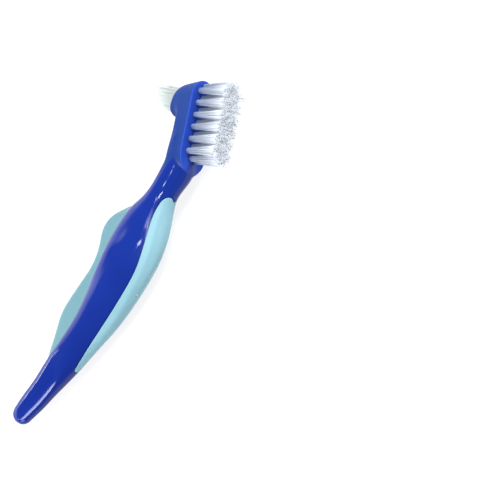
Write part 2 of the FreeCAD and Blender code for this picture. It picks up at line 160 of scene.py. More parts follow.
def poly_distance(q, t, poly):
    """Signed distance to a closed outline in the side view, negative inside."""
    a, b = poly
    shape = q.shape
    x, y = q.ravel(), t.ravel()
    best = np.full(x.shape, 1e9)
    inside = np.zeros(x.shape, bool)
    for (ax, ay), (bx, by) in zip(a, b):
        ex, ey = bx - ax, by - ay
        wx, wy = x - ax, y - ay
        k = np.clip((wx * ex + wy * ey) / (ex * ex + ey * ey), 0, 1)
        best = np.minimum(best, (wx - ex * k) ** 2 + (wy - ey * k) ** 2)
        cross = ex * wy - ey * wx
        up = (ay <= y) & (by > y) & (cross > 0)
        down = (ay > y) & (by <= y) & (cross < 0)
        inside ^= up | down
    d = np.sqrt(best)
    return np.where(inside, -d, d).reshape(shape)


def curve_through(points, n):
    pts = np.asarray(points, float)
    s = np.concatenate([[0], np.cumsum(np.hypot(*np.diff(pts, axis=0).T))])
    fx, fy = spline(s, pts[:, 0]), spline(s, pts[:, 1])
    u = np.linspace(0, s[-1], n)
    return np.stack([fx(u), fy(u)], 1)


tail_end = curve_through([(4, -2.66), (1.8, -2.0), (0.6, -0.84), (-0.1, 0.48), (-0.42, 1.7), (-0.5, 2.9), (-0.42, 4.1),
                          (-0.1, 5.22), (0.6, 6.42), (1.8, 7.5), (4, 8.3)], 28)
TAIL = polygon(np.concatenate([[(20, float(back_of(20))), (10, float(back_of(10))), (7, float(back_of(7)))], tail_end,
                               [(7, float(front_of(7))), (10, float(front_of(10))), (20, float(front_of(20)))]]))


def handle_field(q, t, z):
    b, f, w = back_of(q), front_of(q), thick_of(q)
    c, d, w = (b + f) / 2, (f - b) / 2, w / 2
    u, s = (t - c) / d, np.abs(z) / w
    rho = np.maximum(np.hypot(u, s), 1e-6)
    th = np.arctan2(s, u)
    rn = np.interp(th, TH, EGG)
    r = np.maximum(np.hypot(t - c, z), 1e-6)
    m = step(q, 22, 58)
    val = r * (1 - rn / rho) * m + tail_field(q, t, z, b, f, w) * (1 - m)
    # shallow moulded hollows in the side
    side = step(np.abs(z), 2, 5)
    for q0, t0, sq, st, deep in DENTS:
        val = val + side * deep * np.exp(-((q - q0) / sq) ** 2 - ((t - t0) / st) ** 2)
    # slight side flats, level with the head's sides
    val = np.where(q < 118, smax(val, np.abs(z) - 8.5, 0.3), val)
    return smax(val, q - 141.5, 3.0)


DENTS = [(91.5, -3.2, 6.0, 3.6, 0.50), (84.0, -4.5, 5.0, 3.0, -0.22), (77.5, 0.6, 6.0, 4.5, 0.42), (66.6, -0.6, 7.0, 4.0, 0.36)]


def head_field(q, t, z):
    dq, dy = q - FACE_Q, -(t - FACE_T)
    lx, ly = dq * CH + dy * SH, -dq * SH + dy * CH
    # wall of the drafted oblong
    wall = (np.hypot(np.maximum(np.abs(lx) - HEAD_HALF, 0), z) - (HEAD_R - ly * DRAFT)) * 0.991
    cone = np.hypot(lx - HEAD_HALF, z) - (HEAD_R + 0.35 - ly * DRAFT)
    base = smin(cone, ly - HEAD_DEEP, 4.6)
    f = smax(wall, base, 1.9)
    end = (lx - HEAD_HALF) * math.sin(BOSS_SLANT) + (ly - BOSS_END) * math.cos(BOSS_SLANT)
    f = smax(f, end, 1.7)
    return smax(f, -ly, 0.55)


def body_field(p):
    q, t, z = p[..., 0], p[..., 1], p[..., 2]
    return smin(handle_field(q, t, z), head_field(q, t, z), 2.4)


grip_curve = curve_through(grip_line, 110)
# the seam again, as the height across the line of sight over the handle's length
seam_line = [(32.35, 11.4), (32.5, 10.4), (32.65, 9.9), (33.4, 9.6), (36.95, 9.52), (40.9, 9.45), (48.2, 9.03), (57.1, 8.72),
             (64.0, 8.7), (66.0, 8.2), (69.9, 8.5), (72.7, 8.1), (77.8, 7.5), (84.9, 6.48), (91.4, 4.6), (96.65, 2.87),
             (100.3, 1.62), (104.5, 0.27), (109.0, -0.62), (113.0, -0.83), (115.5, 0.0), (116.6, 1.1), (116.9, 2.6),
             (117.0, 4.4)]
SEAM_SMOOTH = spline([32.6, 38.0, 48.2, 60.0, 72.0, 84.9, 91.4, 96.65, 100.3, 104.5, 109.0, 112.0],
                     [9.85, 9.5, 9.05, 8.75, 8.1, 6.48, 4.6, 2.87, 1.62, 0.27, -0.62, -0.82])
seam_line = [(32.2, 12.5), (32.28, 11.2), (32.4, 10.3)] + [(x, float(SEAM_SMOOTH(x))) for x in np.linspace(32.8, 112.0, 70)] \
    + [(113.4, -0.76), (114.7, -0.35), (115.8, 0.35), (116.5, 1.2), (116.7, 2.1), (116.4, 3.0), (115.75, 3.8),
       (114.7, 4.7), (113.5, 5.6), (112.9, 6.4), (112.7, 7.4)]
GRIP = polygon(np.array(seam_line + [(112.7, 40.0), (32.2, 40.0)]))


def seam_distance(pos):
    """Distance to the joint line, negative on the grip."""
    return poly_distance(pos[:, 0], 0.7308 * pos[:, 1] - 0.6825 * np.abs(pos[:, 2]), GRIP)

fin_curve = curve_through(fin_line, 90)
FIN = polygon(np.concatenate([fin_curve, [(30, 5), (60, 5), (80, 0)]]))


ridge = np.array([(40.0, 15.2, 1.0), (56.0, 17.5, 1.9), (66.0, 17.7, 2.55), (76.0, 17.1, 3.05),
                  (86.0, 15.6, 3.6), (95.0, 12.9, 4.1), (103.0, 9.0, 4.3), (112.0, 5.2, 4.3)])
ridge_t, ridge_z = spline(ridge[:, 0], ridge[:, 1]), spline(ridge[:, 0], ridge[:, 2])


def grip_form(p):
    """The grip's outer surface, with a soft ridge between its side strips and
    its front, and the lip along the joint line rolled down."""
    q, t, z = p[..., 0], p[..., 1], p[..., 2]
    form = handle_field(q, t, z)
    away = (t - ridge_t(q)) ** 2 + (np.abs(z) - ridge_z(q)) ** 2
    crest = 0.30 * np.exp(-away / 1.3 ** 2) * step(q, 38, 56) * (1 - step(q, 104, 114))
    return form - 0.09 - crest


def fin_field(p):
    q, t, z = p[..., 0], p[..., 1], p[..., 2]
    plate = np.abs(z) - 1.72
    edge = poly_distance(q, t, FIN)
    return smax(plate, edge, 2.4)


def surface(field, low, high, h):
    """Closed quad mesh of field = 0: one point in each crossed cell, then put
    exactly on the surface along the field's slope."""
    axes = [np.arange(a, b + h, h) for a, b in zip(low, high)]
    nx, ny, nz = [len(a) for a in axes]
    val = np.empty((nx, ny, nz), np.float32)
    for i0 in range(0, nx, 40):
        g = np.stack(np.meshgrid(axes[0][i0:i0 + 40], axes[1], axes[2], indexing="ij"), -1)
        val[i0:i0 + 40] = field(g)
    neg = val < 0
    c = [neg[i:nx - 1 + i, j:ny - 1 + j, k:nz - 1 + k] for i in (0, 1) for j in (0, 1) for k in (0, 1)]
    total = sum(x.astype(np.int8) for x in c)
    active = (total > 0) & (total < 8)
    ids = np.full(active.shape, -1, np.int64)
    cells = np.argwhere(active)
    ids[active] = np.arange(len(cells))
    pos = np.zeros((len(cells), 3))
    count = np.zeros(len(cells))
    corner = [(i, j, k) for i in (0, 1) for j in (0, 1) for k in (0, 1)]
    for a in corner:
        for axis in range(3):
            if a[axis]:
                continue
            b = list(a)
            b[axis] = 1
            va = val[cells[:, 0] + a[0], cells[:, 1] + a[1], cells[:, 2] + a[2]]
            vb = val[cells[:, 0] + b[0], cells[:, 1] + b[1], cells[:, 2] + b[2]]
            hit = (va < 0) != (vb < 0)
            w = np.where(hit, va / np.where(hit, va - vb, 1), 0)
            e = np.tile(np.array(a, float), (len(cells), 1))
            e[:, axis] += w
            pos += np.where(hit[:, None], e, 0)
            count += hit
    pos = (pos / count[:, None] + cells) * h + np.array([ax[0] for ax in axes])
    faces = []
    for axis in range(3):
        o1, o2 = [x for x in range(3) if x != axis]
        sl_a = [slice(1, n - 1) for n in (nx, ny, nz)]
        sl_b = list(sl_a)
        sl_a[axis] = slice(0, (nx, ny, nz)[axis] - 1)
        sl_b[axis] = slice(1, (nx, ny, nz)[axis])
        na, nb = neg[tuple(sl_a)], neg[tuple(sl_b)]
        at = np.argwhere(na != nb)
        base = at.copy()
        base[:, o1] += 1
        base[:, o2] += 1
        flip = na[tuple(at.T)]
        q4 = []
        for d1, d2 in ((0, 0), (1, 0), (1, 1), (0, 1)):
            idx = base.copy()
            idx[:, o1] -= d1
            idx[:, o2] -= d2
            q4.append(ids[tuple(idx.T)])
        quad = np.stack(q4, 1)
        if axis == 1:
            flip = ~flip
        quad = np.where(flip[:, None], quad[:, ::-1], quad)
        faces.append(quad)
    faces = np.concatenate(faces)
    # even the mesh out, then back on the surface
    edges = np.concatenate([faces[:, [0, 1]], faces[:, [1, 2]], faces[:, [2, 3]], faces[:, [3, 0]]])
    for _ in range(3):
        acc = np.zeros_like(pos)
        num = np.zeros(len(pos))
        np.add.at(acc, edges[:, 0], pos[edges[:, 1]])
        np.add.at(acc, edges[:, 1], pos[edges[:, 0]])
        np.add.at(num, edges[:, 0], 1)
        np.add.at(num, edges[:, 1], 1)
        pos = pos * 0.4 + 0.6 * acc / num[:, None]
        pos = onto(field, pos, h)
    pos = onto(field, pos, h)
    return pos, faces


def onto(field, pos, h):
    e = 0.02
    f0 = field(pos)
    grad = np.stack([(field(pos + d) - field(pos - d)) / (2 * e) for d in np.eye(3) * e], -1)
    g2 = np.maximum((grad ** 2).sum(-1), 0.05)
    move = np.clip(f0 / g2, -h, h)
    return pos - grad * move[:, None]


def slope_of(field, pos, e=0.02):
    grad = np.stack([(field(pos + d) - field(pos - d)) / (2 * e) for d in np.eye(3) * e], -1)
    return grad / np.linalg.norm(grad, axis=1)[:, None]


def triangles(quads):
    return np.concatenate([quads[:, [0, 1, 2]], quads[:, [0, 2, 3]]])


def clip(pos, tris, g):
    """The part of a mesh where g is below 0, its edge cut true to g = 0."""
    inside = g < 0
    n_in = inside[tris].sum(1)

    def odd_first(tr, state):
        k = np.argmax(inside[tr] == state, axis=1)
        return np.stack([tr[np.arange(len(tr)), (k + i) % 3] for i in range(3)], 1)
    one, two = odd_first(tris[n_in == 1], True), odd_first(tris[n_in == 2], False)
    e = np.concatenate([one[:, [0, 1]], one[:, [0, 2]], two[:, [0, 1]], two[:, [0, 2]]])
    uniq, inv = np.unique(np.sort(e, 1), axis=0, return_inverse=True)
    inv = inv.ravel()
    w = (g[uniq[:, 0]] / (g[uniq[:, 0]] - g[uniq[:, 1]]))[:, None]
    cuts = pos[uniq[:, 0]] * (1 - w) + pos[uniq[:, 1]] * w
    ids = len(pos) + inv
    n1, n2 = len(one), len(two)
    ab1, ac1, ab2, ac2 = ids[:n1], ids[n1:2 * n1], ids[2 * n1:2 * n1 + n2], ids[2 * n1 + n2:]
    out = np.concatenate([tris[n_in == 3], np.stack([one[:, 0], ab1, ac1], 1),
                          np.stack([ab2, two[:, 1], two[:, 2]], 1), np.stack([ab2, two[:, 2], ac2], 1)])
    allp = np.concatenate([pos, cuts])
    used, back = np.unique(out, return_inverse=True)
    return allp[used], back.reshape(-1, 3)


def thicken(ob, mm):
    """Weld, then give an open surface a wall of mm millimetres, inwards."""
    bm = bmesh.new()
    bm.from_mesh(ob.data)
    bmesh.ops.remove_doubles(bm, verts=bm.verts, dist=2e-5)
    bmesh.ops.dissolve_degenerate(bm, edges=bm.edges, dist=1e-5)
    bm.to_mesh(ob.data)
    bm.free()
    mod = ob.modifiers.new("wall", "SOLIDIFY")
    mod.thickness = mm / 1000.0
    mod.offset = -1.0
    mod.use_even_offset = False
    made = bpy.data.meshes.new_from_object(ob.evaluated_get(bpy.context.evaluated_depsgraph_get()))
    ob.modifiers.clear()
    made.name = ob.name
    ob.data = made
    made.set_sharp_from_angle(angle=math.radians(42))


def to_world(pos):
    return np.stack([pos[:, 0] + SX, SY - pos[:, 1], pos[:, 2] + RZ], 1) / 1000.0


def new_mesh(name, verts, faces, flip=False):
    me = bpy.data.meshes.new(name)
    verts = np.asarray(verts, np.float32)
    faces = np.asarray(faces, np.int32)
    if flip:
        faces = faces[:, ::-1]
    me.vertices.add(len(verts))
    me.vertices.foreach_set("co", verts.ravel())
    n = faces.shape[1]
    me.loops.add(faces.size)
    me.loops.foreach_set("vertex_index", np.ascontiguousarray(faces).ravel())
    me.polygons.add(len(faces))
    me.polygons.foreach_set("loop_start", np.arange(0, faces.size, n, dtype=np.int32))
    me.update(calc_edges=True)
    me.validate()
    me.polygons.foreach_set("use_smooth", np.ones(len(me.polygons), bool))
    ob = bpy.data.objects.new(name, me)
    bpy.context.scene.collection.objects.link(ob)
    return ob


# ---------------------------------------------------------------------------
# Materials
# ---------------------------------------------------------------------------
def lin(r, g, b):
    def f(c):
        c /= 255.0
        return c / 12.92 if c <= 0.04045 else ((c + 0.055) / 1.055) ** 2.4
    return (f(r), f(g), f(b), 1.0)


class Mat:
    def __init__(self, name):
        self.m = bpy.data.materials.new(name)
        self.m.use_nodes = True
        self.nt = self.m.node_tree
        self.nt.nodes.clear()
        self.out = self.nt.nodes.new("ShaderNodeOutputMaterial")
        self.b = self.nt.nodes.new("ShaderNodeBsdfPrincipled")
        self.link(self.b.outputs[0], self.out.inputs[0])
        self.co = self.nt.nodes.new("ShaderNodeTexCoord").outputs["Object"]

    def link(self, a, b):
        self.nt.links.new(a, b)

    def new(self, kind, **props):
        n = self.nt.nodes.new(kind)
        for k, v in props.items():
            setattr(n, k, v)
        return n

    def mapped(self, scale):
        n = self.new("ShaderNodeMapping")
        n.inputs["Scale"].default_value = scale if isinstance(scale, tuple) else (scale,) * 3
        self.link(self.co, n.inputs[0])
        return n.outputs[0]

    def noise(self, scale, detail=2.0, rough=0.5, stretch=None):
        n = self.new("ShaderNodeTexNoise")
        n.inputs["Scale"].default_value = scale
        n.inputs["Detail"].default_value = detail
        n.inputs["Roughness"].default_value = rough
        self.link(self.mapped(stretch) if stretch else self.co, n.inputs["Vector"])
        return n.outputs["Fac"]

    def ramp(self, fac, stops):
        n = self.new("ShaderNodeValToRGB")
        el = n.color_ramp.elements
        while len(el) < len(stops):
            el.new(0.5)
        for e, (p, c) in zip(el, stops):
            e.position = p
            e.color = c
        self.link(fac, n.inputs[0])
        return n.outputs[0]

    def range(self, fac, a, b, c, d):
        n = self.new("ShaderNodeMapRange")
        for i, v in zip((1, 2, 3, 4), (a, b, c, d)):
            n.inputs[i].default_value = v
        self.link(fac, n.inputs[0])
        return n.outputs[0]

    def math(self, op, a, b=None):
        n = self.new("ShaderNodeMath", operation=op)
        for i, v in enumerate((a, b)):
            if v is None:
                continue
            if isinstance(v, (int, float)):
                n.inputs[i].default_value = v
            else:
                self.link(v, n.inputs[i])
        return n.outputs[0]

    def mix(self, fac, a, b):
        n = self.new("ShaderNodeMix", data_type="RGBA")
        if isinstance(fac, (int, float)):
            n.inputs[0].default_value = fac
        else:
            self.link(fac, n.inputs[0])
        for i, v in ((6, a), (7, b)):
            if isinstance(v, tuple):
                n.inputs[i].default_value = v
            else:
                self.link(v, n.inputs[i])
        return n.outputs[2]

    def bump(self, height, strength, distance, normal=None):
        n = self.new("ShaderNodeBump")
        n.inputs["Strength"].default_value = strength
        n.inputs["Distance"].default_value = distance
        self.link(height, n.inputs["Height"])
        if normal is not None:
            self.link(normal, n.inputs["Normal"])
        return n.outputs[0]

    def axis(self, i):
        n = self.new("ShaderNodeSeparateXYZ")
        self.link(self.co, n.inputs[0])
        return n.outputs[i]


def attribute(ob, name, values):
    at = ob.data.attributes.new(name, "FLOAT", "POINT")
    at.data.foreach_set("value", np.asarray(values, np.float32))


def blue_plastic():
    m = Mat("blue_gloss_plastic")
    b = m.b
    soft = m.noise(22.0, 2.0, 0.5)
    tone = m.mix(m.range(soft, 0.35, 0.65, 0, 1), lin(9, 36, 124), lin(15, 44, 136))
    at = m.new("ShaderNodeAttribute", attribute_name="head").outputs["Fac"]
    face = m.new("ShaderNodeAttribute", attribute_name="face").outputs["Fac"]
    head = m.mix(m.range(soft, 0.35, 0.65, 0, 1), lin(26, 52, 119), lin(34, 60, 128))
    col = m.mix(at, tone, head)
    col = m.mix(face, col, lin(46, 82, 196))
    # painted shade: a narrow dark line along the joint with the soft grip, where shade falls between the parts
    painted_seam_shade = m.new("ShaderNodeAttribute", attribute_name="seam").outputs["Fac"]
    col = m.mix(m.range(painted_seam_shade, 0.05, 0.9, 0.0, 0.85), col, lin(5, 14, 66))
    m.link(col, b.inputs["Base Color"])
    rough = m.range(m.noise(90.0, 3.0), 0.3, 0.7, 0.07, 0.13)
    satin = m.range(m.noise(300.0, 3.0), 0.3, 0.7, 0.42, 0.54)
    r = m.new("ShaderNodeMix", data_type="FLOAT")
    m.link(m.math("MAXIMUM", at, face), r.inputs[0])
    m.link(rough, r.inputs[2])
    m.link(satin, r.inputs[3])
    m.link(r.outputs[0], b.inputs["Roughness"])
    b.inputs["IOR"].default_value = 1.45
    gl = m.new("ShaderNodeMix", data_type="FLOAT")
    # less gloss on the head and the face, and along the painted seam shade
    m.link(m.math("MAXIMUM", m.math("MAXIMUM", at, face), painted_seam_shade), gl.inputs[0])
    gl.inputs[2].default_value = 0.5
    gl.inputs[3].default_value = 0.09
    m.link(gl.outputs[0], b.inputs["Specular IOR Level"])
    b.inputs["Subsurface Weight"].default_value = 0.0
    wave = m.bump(m.noise(38.0, 2.0, 0.4), 0.22, 0.0012)
    fine = m.bump(m.noise(900.0, 3.0, 0.6), 0.06, 0.0001, wave)
    m.link(fine, b.inputs["Normal"])
    return m.m


def aqua_rubber(name, dark, light, edge):
    m = Mat(name)
    b = m.b
    big = m.noise(14.0, 2.0, 0.5)
    fine = m.noise(1500.0, 4.0, 0.65)
    col = m.mix(m.range(big, 0.35, 0.65, 0, 1), dark, light)
    col = m.mix(m.range(fine, 0.3, 0.75, 0.0, 0.16), col, edge)
    m.link(col, b.inputs["Base Color"])
    m.link(m.range(fine, 0.3, 0.7, 0.42, 0.56), b.inputs["Roughness"])
    b.inputs["IOR"].default_value = 1.45
    b.inputs["Subsurface Weight"].default_value = 0.25
    b.inputs["Subsurface Radius"].default_value = (0.5, 0.9, 1.0)
    b.inputs["Subsurface Scale"].default_value = 0.0012
    b.inputs["Sheen Weight"].default_value = 0.12
    n1 = m.bump(m.noise(60.0, 2.0, 0.5), 0.10, 0.0008)
    m.link(m.bump(fine, 0.16, 0.00008, n1), b.inputs["Normal"])
    return m.m


def nylon(name, base, tip, glow, speck):
    m = Mat(name)
    b = m.b
    along = m.new("ShaderNodeAttribute", attribute_name="along").outputs["Fac"]
    shade = m.new("ShaderNodeAttribute", attribute_name="shade").outputs["Fac"]
    # painted shade: darker, bluish grey towards the roots, white towards the tips
    col = m.ramp(along, [(0.0, base[0]), (0.30, base[1]), (0.75, tip[0]), (1.0, tip[1])])
    col = m.mix(m.range(shade, 0, 1, 0.0, 0.22), col, lin(190, 200, 214))
    # some of the cut ends look grey
    end = m.math("MULTIPLY", m.math("GREATER_THAN", along, 0.974), m.math("GREATER_THAN", shade, speck))
    col = m.mix(end, col, lin(96, 101, 108))
    m.link(col, b.inputs["Base Color"])
    b.inputs["Roughness"].default_value = 0.28
    b.inputs["IOR"].default_value = 1.52
    # painted light: the filaments glow, more strongly towards their tips
    m.link(col, b.inputs["Emission Color"])
    m.link(m.range(along, 0.45, 1.0, glow * 0.8, glow * 2.6), b.inputs["Emission Strength"])
    b.inputs["Subsurface Weight"].default_value = 0.0
    # light passes through a filament and scatters
    tr = m.new("ShaderNodeBsdfTranslucent")
    m.link(col, tr.inputs[0])
    mix = m.new("ShaderNodeMixShader")
    mix.inputs[0].default_value = 0.42
    m.link(b.outputs[0], mix.inputs[1])
    m.link(tr.outputs[0], mix.inputs[2])
    m.link(mix.outputs[0], m.out.inputs[0])
    return m.m


BLUE = blue_plastic()
AQUA = aqua_rubber("aqua_grip", lin(127, 174, 190), lin(135, 182, 196), lin(155, 194, 206))
AQUA_FIN = aqua_rubber("aqua_fin", lin(97, 139, 150), lin(102, 145, 156), lin(123, 158, 166))
# both nylons carry painted shade at their roots and a painted glow (0.10 and 0.085)
NYLON = nylon("nylon_white", (lin(176, 196, 230), lin(197, 206, 220)), (lin(232, 236, 241), lin(248, 250, 252)), 0.10, 0.60)
CLEAR = nylon("nylon_clear", (lin(226, 230, 228), lin(234, 238, 236)), (lin(240, 244, 241), lin(243, 247, 244)), 0.085, 0.95)

# ---------------------------------------------------------------------------
# Body, grip and fin
# ---------------------------------------------------------------------------
H = 0.362


def region_masks(pos):
    """How far each point belongs to the satin head, and to its bristle face."""
    dq, dy = pos[:, 0] - FACE_Q, -(pos[:, 1] - FACE_T)
    lx, ly = dq * CH + dy * SH, -dq * SH + dy * CH
    on_head = head_field(pos[:, 0], pos[:, 1], pos[:, 2])
    head = 1 - step(on_head, 0.05, 0.9)
    face = (1 - step(ly, 0.25, 0.6)) * head
    head = np.maximum(head, np.where(lx > 2, 1 - step(on_head, 0.2, 3.0), 0))
    q, t = pos[:, 0], pos[:, 1]
    crease = np.interp(q, [108, 111.4, 116.6, 121.9, 128.0, 130.8, 133.8], [-5.4, -4.4, -4.5, -4.4, -3.5, -2.4, -1.3])
    neck = (1 - step(t, crease - 1.6, crease + 0.3)) * step(q, 106, 127) * (1 - step(q, 136, 140))
    return np.maximum(head, 0.85 * neck), face


pos, faces = surface(body_field, (-2.0, -30.5, -9.8), (168.5, 20.2, 9.8), H)
print("body", len(pos), len(faces))
body = new_mesh("body_shell", to_world(pos), faces)
head_mask, face_mask = region_masks(pos)
attribute(body, "head", head_mask)
attribute(body, "face", face_mask)
# mask for the painted shade along the grip's joint
attribute(body, "seam", np.clip(1 - np.abs(seam_distance(pos)) / 0.6, 0, 1))
body.data.materials.append(BLUE)
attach(body, "root")
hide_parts("handle_body")

# blind holes for the tufts, cut clean into the face
def head_to_world(lx, ly, z):
    q = FACE_Q + lx * CH - ly * SH
    t = FACE_T - (lx * SH + ly * CH)
    return np.stack(np.broadcast_arrays(q + SX, SY - t, z + RZ), -1) / 1000.0


LEAN = math.radians(3.5)
PITCH, START = 5.54, 15.5
TUFTS = []
for col, off, count, phase in (("a", 4.15, 6, 0.0), ("b", 1.45, 7, 0.5), ("c", -1.45, 7, 0.5), ("d", -4.15, 6, 0.0)):
    for i in range(count):
        TUFTS.append(("%s%d" % (col, i + 1), START + (phase - i) * PITCH, off))


def cylinders(name, items, n=20):
    """Closed cylinders: (start, end, radius) in head coordinates."""
    vs, fs = [], []
    for a, b, r0, r1 in items:
        a, b = np.array(a, float), np.array(b, float)
        d = (b - a) / np.linalg.norm(b - a)
        u = np.cross(d, [0.3, 0.2, 0.9])
        u /= np.linalg.norm(u)
        v = np.cross(d, u)
        k = len(vs)
        for c, r in ((a, r0), (b, r1)):
            for j in range(n):
                w = 2 * math.pi * j / n
                vs.append(c + r * (math.cos(w) * u + math.sin(w) * v))
        fs.append(list(range(k, k + n)))
        fs.append(list(range(k + 2 * n - 1, k + n - 1, -1)))
        for j in range(n):
            j2 = (j + 1) % n
            fs.append([k + j, k + n + j, k + n + j2, k + j2])
    vs = np.array(vs)
    world = head_to_world(vs[:, 0], vs[:, 1], vs[:, 2])
    me = bpy.data.meshes.new(name)
    me.from_pydata([tuple(x) for x in world], [], fs)
    me.update()
    ob = bpy.data.objects.new(name, me)
    bpy.context.scene.collection.objects.link(ob)
    return ob


drill = cylinders("drill", [((lx + 3.0 * math.sin(LEAN), 3.0 * math.cos(LEAN), off),
                             (lx - 1.0 * math.sin(LEAN), -1.0 * math.cos(LEAN), off), 1.36, 1.36)
                            for _, lx, off in TUFTS], 18)
rl = math.radians(10.0)
rear_drill = cylinders("rear_drill", [((HEAD_HALF, BOSS_END - 5.0, 0),
                                       (HEAD_HALF + 13 * math.sin(rl), BOSS_END - 5.0 + 13 * math.cos(rl), 0), 5.6, 5.6)], 48)
for tool in (drill, rear_drill):
    mod = body.modifiers.new("cut", "BOOLEAN")
    mod.operation = "DIFFERENCE"
    mod.solver = "EXACT"
    mod.object = tool
    tool.hide_render = True
dep = bpy.context.evaluated_depsgraph_get()
cut = bpy.data.meshes.new_from_object(body.evaluated_get(dep))
old = body.data
body.modifiers.clear()
body.data = cut
for tool in (drill, rear_drill):
    bpy.data.objects.remove(tool)
cut.name = "body_shell"
for p in cut.polygons:
    p.use_smooth = True
cut.set_sharp_from_angle(angle=math.radians(48))
nv, nl, nf = len(cut.vertices), len(cut.loops), len(cut.polygons)
co = np.empty(nv * 3, np.float32)
cut.vertices.foreach_get("co", co)
co = co.reshape(-1, 3) * 1000.0
local = np.stack([co[:, 0] - SX, SY - co[:, 1], co[:, 2] - RZ], 1).astype(float)
on = np.abs(body_field(local)) < 0.03
grad = slope_of(body_field, local)
grad = np.stack([grad[:, 0], -grad[:, 1], grad[:, 2]], 1)
fn = np.empty(nf * 3, np.float32)
cut.polygons.foreach_get("normal", fn)
fn = fn.reshape(-1, 3)
start = np.empty(nf, np.int32)
count = np.empty(nf, np.int32)
cut.polygons.foreach_get("loop_start", start)
cut.polygons.foreach_get("loop_total", count)
lv = np.empty(nl, np.int32)
cut.loops.foreach_get("vertex_index", lv)
owner = np.repeat(np.arange(nf), count)
good = on[lv] & ((grad[lv] * fn[owner]).sum(1) > 0.72)
whole = np.ones(nf, bool)
np.logical_and.at(whole, owner, on[lv])
use = good & whole[owner]
cn = np.empty(nl * 3, np.float32)
cut.corner_normals.foreach_get("vector", cn)
cn = cn.reshape(-1, 3)
cut.normals_split_custom_set(np.where(use[:, None], grad[lv], cn).tolist())
print("cut body", len(cut.polygons))

pos, faces = surface(grip_form, (28.0, -16.0, -9.8), (122.0, 21.0, 9.8), 0.36)
tris, g = triangles(faces), seam_distance(pos)
near = np.abs(g) < 0.14
for _ in range(2):
    here = pos[near]
    n = slope_of(grip_form, here)
    e = 0.02
    dg = np.stack([(seam_distance(here + d) - seam_distance(here - d)) / (2 * e) for d in np.eye(3) * e], -1)
    dg -= n * (dg * n).sum(1)[:, None]
    size2 = np.maximum((dg ** 2).sum(1), 0.2)
    pos[near] = onto(grip_form, here - dg * (seam_distance(here) / size2)[:, None], 0.3)
g[near] = -1e-9
pos, tris = clip(pos, tris, g)
g = seam_distance(pos)
low_lip = 0.075 * (1 - np.sqrt(np.clip(1 - (1 - np.clip(-g / 0.55, 0, 1)) ** 2, 0, 1)))
pos = pos - slope_of(grip_form, pos) * low_lip[:, None]
print("grip", len(pos), len(tris))
grip = new_mesh("grip_shell", to_world(pos), tris)
thicken(grip, 0.9)
# moulding gate mark, a small raised pip
spot = onto(grip_form, np.array([[75.0, 18.8, 0.0]]), 1.0)
gate_n = slope_of(grip_form, spot)[0] * (1, -1, 1)
gate_c = to_world(spot)[0]
side_a = np.cross(gate_n, (0, 0, 1.0))
side_a /= np.linalg.norm(side_a)
side_b = np.cross(gate_n, side_a)
bm = bmesh.new()
bm.from_mesh(grip.data)
rows = []
for r, h in ((0.12, 0.36), (0.24, 0.40), (0.34, 0.46), (0.44, 0.44), (0.52, 0.34), (0.55, 0.16), (0.66, 0.03), (0.85, -0.06), (0.88, -0.2)):
    rows.append([bm.verts.new(gate_c + (side_a * r * math.cos(a) + side_b * r * math.sin(a) + gate_n * h) * 0.001)
                 for a in np.linspace(0, 2 * math.pi, 24, endpoint=False)])
bm.faces.new(rows[0])
for inner, outer in zip(rows, rows[1:]):
    for j in range(24):
        bm.faces.new((inner[j], outer[j], outer[j - 23], inner[j - 23]))
for f in bm.faces:
    f.smooth = True
bm.to_mesh(grip.data)
bm.free()
grip.data.materials.append(AQUA)
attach(grip, "root")
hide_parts("front_grip")

pos, faces = surface(fin_field, (22.0, -22.6, -2.8), (108.5, 6.5, 2.8), H)
print("fin", len(pos), len(faces))
fin = new_mesh("fin_plate", to_world(pos), faces)
fin.data.materials.append(AQUA_FIN)
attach(fin, "root")
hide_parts("thumb_fin")

# ---------------------------------------------------------------------------
# Filaments
# ---------------------------------------------------------------------------
rng = np.random.default_rng(7)


def filaments(name, paths, radii, sides, along_rows, mat):
    """Round filaments along paths (n, rows, 3) in head coordinates, with a
    rounded end."""
    n, rows, _ = paths.shape
    verts, faces, along, shade = [], [], [], []
    tone = rng.random(n)
    k = 0
    for i in range(n):
        p = paths[i]
        tang = np.gradient(p, axis=0)
        tang /= np.linalg.norm(tang, axis=1)[:, None]
        ref = np.array([0.13, 0.05, 0.99])
        u = np.cross(tang, ref)
        u /= np.linalg.norm(u, axis=1)[:, None]
        v = np.cross(tang, u)
        w = np.arange(sides) * 2 * math.pi / sides + rng.random() * 6
        ring = p[:, None] + radii[i][:, None, None] * (np.cos(w)[None, :, None] * u[:, None] + np.sin(w)[None, :, None] * v[:, None])
        tip = p[-1] + tang[-1] * radii[i][-1] * 0.7
        verts.append(np.concatenate([ring.reshape(-1, 3), tip[None]]))
        along.append(np.concatenate([np.repeat(along_rows, sides), [along_rows[-1]]]))
        shade.append(np.full(rows * sides + 1, tone[i]))
        for r in range(rows - 1):
            for s in range(sides):
                s2 = (s + 1) % sides
                a, b, c, d = k + r * sides + s, k + r * sides + s2, k + (r + 1) * sides + s2, k + (r + 1) * sides + s
                faces.append((a, b, c))
                faces.append((a, c, d))
        top = k + (rows - 1) * sides
        for s in range(sides):
            faces.append((top + s, top + (s + 1) % sides, k + rows * sides))
        for s in range(1, sides - 1):
            faces.append((k, k + s + 1, k + s))
        k += rows * sides + 1
    vs = np.concatenate(verts)
    ob = new_mesh(name, head_to_world(vs[:, 0], vs[:, 1], vs[:, 2]), np.array(faces))
    attribute(ob, "along", np.concatenate(along))
    attribute(ob, "shade", np.concatenate(shade))
    ob.data.materials.append(mat)
    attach(ob, "root")
    return ob


def disc(n, radius):
    i = np.arange(n) + 0.5
    r = radius * np.sqrt(i / n)
    a = i * 2.399963
    return np.stack([r * np.cos(a), r * np.sin(a)], 1)


